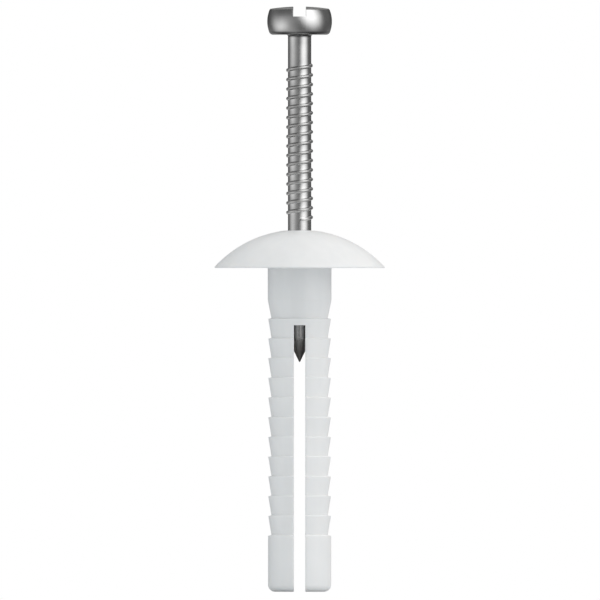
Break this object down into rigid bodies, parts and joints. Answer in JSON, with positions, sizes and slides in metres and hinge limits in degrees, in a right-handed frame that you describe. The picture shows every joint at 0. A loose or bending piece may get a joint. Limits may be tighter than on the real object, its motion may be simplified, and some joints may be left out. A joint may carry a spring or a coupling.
{
  "type": "hammer fixing plug",
  "caption": "Mushroom-head plastic wall plug with a split, ring-toothed shank and a slotted-head steel nail screw standing out of its bore, ready to be hammered home.",
  "frame": {"origin": "on the plug's axis, at the flat underside of the mushroom head, which is the wall's face when the plug is fitted", "axes": "+Z along the axis, out of the wall towards the nail's head; the plug's split and the nail's drive slot both run along Y"},
  "size_m": [0.0158, 0.0158, 0.0542],
  "materials": {
    "plug_plastic": "white moulded polyamide, satin, faintly translucent",
    "nail_steel": "bright zinc-plated steel, smooth and shiny"
  },
  "bodies": {
    "plug": {"plug_sleeve": "plug_plastic"},
    "nail": {"drive_nail": "nail_steel"}
  },
  "joints": [
    {"name": "nail_drive", "type": "slide", "parent": "plug", "child": "nail", "axis": [0, 0, -1], "range_m": [0, 0.0181]}
  ]
}
